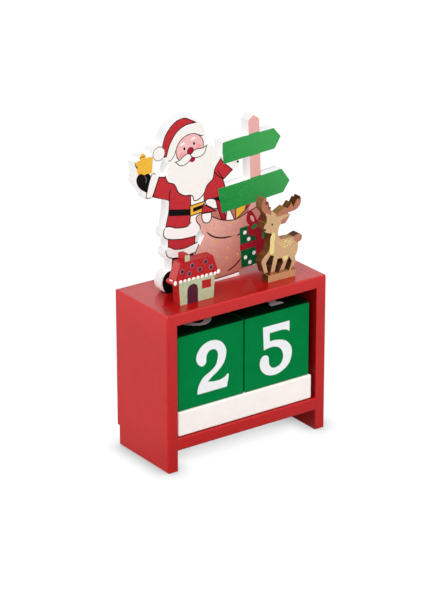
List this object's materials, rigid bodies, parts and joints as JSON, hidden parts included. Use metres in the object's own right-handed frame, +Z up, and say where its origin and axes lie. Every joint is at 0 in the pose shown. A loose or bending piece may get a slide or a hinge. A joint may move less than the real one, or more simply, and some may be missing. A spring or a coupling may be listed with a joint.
{
  "type": "desk calendar",
  "caption": "Wooden block calendar: open-fronted cabinet on two side feet with loose date blocks over month bars, and painted fret-cut festive boards standing on its top.",
  "frame": {"origin": "bottom centre of the calendar, on the plane that its feet rest on", "axes": "+X to the right as seen from the front, +Y to the back, +Z up"},
  "size_m": [0.1018, 0.047, 0.1793],
  "materials": {
    "cabinet_paint": "satin red lacquer on fibreboard",
    "pin_steel": "bright drawn wire",
    "dowel_wood": "plain beech",
    "figure_white": "white primed fibreboard with a printed front",
    "house_paint": "satin red paint with a painted front",
    "reindeer_paint": "brown stained edges with a tan painted front",
    "block_paint": "satin green paint with white numerals",
    "bar_paint": "satin white paint"
  },
  "bodies": {
    "cabinet": {"left_side_panel": "cabinet_paint", "right_side_panel": "cabinet_paint", "top_board": "cabinet_paint", "shelf_board": "cabinet_paint", "back_panel": "cabinet_paint", "carcass_brads": "pin_steel", "back_panel_pins": "pin_steel", "cutout_dowels": "dowel_wood", "figure_board": "figure_white", "house": "house_paint", "reindeer": "reindeer_paint"},
    "left_block": {"date_block_left": "block_paint"},
    "right_block": {"date_block_right": "block_paint"},
    "rear_bar": {"month_bar_rear": "bar_paint"},
    "middle_bar": {"month_bar_middle": "bar_paint"},
    "front_bar": {"month_bar_front": "bar_paint"}
  },
  "joints": [
    {"name": "left_block_slide", "type": "slide", "parent": "cabinet", "child": "left_block", "axis": [0, -1, 0], "range_m": [0, 0.05]},
    {"name": "right_block_slide", "type": "slide", "parent": "cabinet", "child": "right_block", "axis": [0, -1, 0], "range_m": [0, 0.05]},
    {"name": "rear_bar_slide", "type": "slide", "parent": "cabinet", "child": "rear_bar", "axis": [0, -1, 0], "range_m": [-0.002, 0.045]},
    {"name": "middle_bar_slide", "type": "slide", "parent": "rear_bar", "child": "middle_bar", "axis": [0, -1, 0], "range_m": [0, 0.032]},
    {"name": "front_bar_slide", "type": "slide", "parent": "middle_bar", "child": "front_bar", "axis": [0, -1, 0], "range_m": [0, 0.02]}
  ]
}
